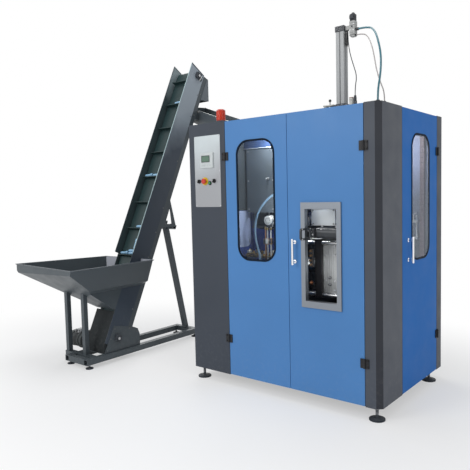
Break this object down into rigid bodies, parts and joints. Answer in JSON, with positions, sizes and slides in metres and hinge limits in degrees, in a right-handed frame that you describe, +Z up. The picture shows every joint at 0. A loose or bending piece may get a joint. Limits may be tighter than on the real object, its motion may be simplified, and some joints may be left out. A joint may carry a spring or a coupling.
{
  "type": "stretch blow moulding machine with preform feeder",
  "caption": "Sheet-metal cabinet that stretch-blows plastic bottles, fed by a hopper, a steep belt elevator and a roller unscrambler.",
  "frame": {"origin": "centre of the front-left levelling foot's underside, on the floor", "axes": "+X to the right along the cabinet's front, +Y from the front to the back, +Z up"},
  "size_m": [3.244, 2.051, 2.785],
  "materials": {
    "frame_paint": "powder coat, matt dark grey",
    "zinc": "zinc plated",
    "column_paint": "fine textured dark grey paint",
    "blue_paint": "satin blue paint",
    "window": "clear sheet",
    "rubber_black": "matt",
    "stainless": "brushed",
    "chrome": "polished",
    "hinge_black": "black, satin",
    "panel_metal": "brushed",
    "plastic_black": "matt",
    "plastic_red": "gloss",
    "plastic_green": "gloss",
    "beacon_red": "translucent look",
    "aluminium": "anodised",
    "steel": "ground",
    "arm_black": "black, satin",
    "lamp_glass": "frosted quartz",
    "feeder_paint": "blue-grey paint",
    "belt_green": "smooth belt",
    "cast_iron": "painted casting",
    "roller_steel": "ground",
    "hose_teal": "smooth hose",
    "tube_grey": "smooth tube",
    "cable_black": "sheathed cable",
    "hose_blue": "smooth hose",
    "brass": "plated"
  },
  "bodies": {
    "machine": {"main_frame": "frame_paint", "levelling_feet": "zinc", "control_column": "column_paint", "corner_post": "column_paint", "cabinet_panels": "column_paint", "hinge_blocks": "hinge_black", "control_plate": "panel_metal", "operator_panel": "plastic_black", "switch_collars": "plastic_black", "beacon_base": "plastic_black", "beacon_lens": "beacon_red", "stretch_cylinder": "aluminium", "solenoid_valve": "plastic_black", "machine_table": "frame_paint", "clamp_frame": "steel", "stretch_frame": "steel", "oven_hood": "column_paint", "oven_lamps": "lamp_glass", "mandrel_chain": "steel", "elevator_plates": "feeder_paint", "elevator_covers": "feeder_paint", "elevator_belt": "belt_green", "pulley_bearings": "cast_iron", "boot_housing": "feeder_paint", "discharge_chute": "feeder_paint", "hopper": "feeder_paint", "feeder_base": "feeder_paint", "rear_support": "feeder_paint", "gearmotor": "cast_iron", "unscrambler_trough": "feeder_paint", "unscrambler_stand": "feeder_paint", "air_hose": "hose_teal", "pilot_tube": "tube_grey", "sensor_cable": "cable_black", "blow_hose": "hose_blue", "hose_fittings": "brass"},
    "left_door": {"left_door": "blue_paint", "left_window": "window", "left_gasket": "rubber_black"},
    "right_door": {"right_door": "blue_paint", "opening_frame": "stainless", "right_door_handle": "chrome"},
    "side_door": {"side_door": "blue_paint", "side_window": "window", "side_gasket": "rubber_black", "side_door_handle": "chrome"},
    "stop_button": {"stop_button": "plastic_red"},
    "start_button": {"start_button": "plastic_green"},
    "left_selector": {"left_selector": "plastic_black"},
    "right_selector": {"right_selector": "plastic_black"},
    "head_pulley": {"head_pulley": "steel"},
    "tail_pulley": {"tail_pulley": "steel"},
    "front_roller": {"front_roller": "roller_steel"},
    "rear_roller": {"rear_roller": "roller_steel"},
    "drive_wheel": {"drive_wheel": "steel"},
    "idler_wheel": {"idler_wheel": "steel"},
    "left_mould": {"left_mould": "aluminium"},
    "right_mould": {"right_mould": "aluminium"},
    "stretch_carriage": {"stretch_carriage": "steel"},
    "takeout_arm": {"takeout_arm": "arm_black"}
  },
  "joints": [
    {"name": "left_door_hinge", "type": "hinge", "parent": "machine", "child": "left_door", "pos_m": [0.311, -0.059, 1.035], "axis": [0, 0, -1], "range_deg": [0, 110]},
    {"name": "right_door_hinge", "type": "hinge", "parent": "machine", "child": "right_door", "pos_m": [1.415, -0.059, 1.035], "axis": [0, 0, 1], "range_deg": [0, 110]},
    {"name": "side_door_hinge", "type": "hinge", "parent": "machine", "child": "side_door", "pos_m": [1.531, 0.932, 1.035], "axis": [0, 0, 1], "range_deg": [0, 110]},
    {"name": "stop_press", "type": "slide", "parent": "machine", "child": "stop_button", "axis": [0, 1, 0], "range_m": [0, 0.006], "stiffness_N_per_m": 1500, "springref_m": -0.002},
    {"name": "start_press", "type": "slide", "parent": "machine", "child": "start_button", "axis": [0, 1, 0], "range_m": [0, 0.004], "stiffness_N_per_m": 900, "springref_m": -0.002},
    {"name": "left_selector_turn", "type": "hinge", "parent": "machine", "child": "left_selector", "pos_m": [0.048, -0.06, 1.551], "axis": [0, -1, 0], "range_deg": [-45, 45]},
    {"name": "right_selector_turn", "type": "hinge", "parent": "machine", "child": "right_selector", "pos_m": [0.2, -0.06, 1.551], "axis": [0, -1, 0], "range_deg": [-45, 45]},
    {"name": "head_pulley_spin", "type": "hinge", "parent": "machine", "child": "head_pulley", "pos_m": [-1.0575, 1.02244, 2.65948], "axis": [1, 0, 0], "continuous": true},
    {"name": "tail_pulley_spin", "type": "hinge", "parent": "machine", "child": "tail_pulley", "pos_m": [-1.0575, -0.12493, 0.19894], "axis": [1, 0, 0], "continuous": true},
    {"name": "front_roller_spin", "type": "hinge", "parent": "machine", "child": "front_roller", "pos_m": [-0.65741, 0.95615, 2.17191], "axis": [0.8698, -0.4149, -0.2672], "continuous": true},
    {"name": "rear_roller_spin", "type": "hinge", "parent": "machine", "child": "rear_roller", "pos_m": [-0.62469, 1.02474, 2.17191], "axis": [0.8698, -0.4149, -0.2672], "continuous": true},
    {"name": "drive_wheel_spin", "type": "hinge", "parent": "machine", "child": "drive_wheel", "pos_m": [0.42, 0.4, 1.23], "axis": [0, 0, 1], "continuous": true},
    {"name": "idler_wheel_spin", "type": "hinge", "parent": "machine", "child": "idler_wheel", "pos_m": [0.74, 0.4, 1.23], "axis": [0, 0, 1], "continuous": true},
    {"name": "left_mould_slide", "type": "slide", "parent": "machine", "child": "left_mould", "axis": [-1, 0, 0], "range_m": [0, 0.06]},
    {"name": "right_mould_slide", "type": "slide", "parent": "machine", "child": "right_mould", "axis": [1, 0, 0], "range_m": [0, 0.06]},
    {"name": "stretch_slide", "type": "slide", "parent": "machine", "child": "stretch_carriage", "axis": [0, 0, -1], "range_m": [0, 0.3]},
    {"name": "takeout_slide", "type": "slide", "parent": "machine", "child": "takeout_arm", "axis": [0, 1, 0], "range_m": [0, 0.1]}
  ],
  "couplings": [
    {"joint": "tail_pulley_spin", "follows": "head_pulley_spin", "ratio": 1},
    {"joint": "rear_roller_spin", "follows": "front_roller_spin", "ratio": -1},
    {"joint": "idler_wheel_spin", "follows": "drive_wheel_spin", "ratio": 1},
    {"joint": "right_mould_slide", "follows": "left_mould_slide", "ratio": 1}
  ]
}
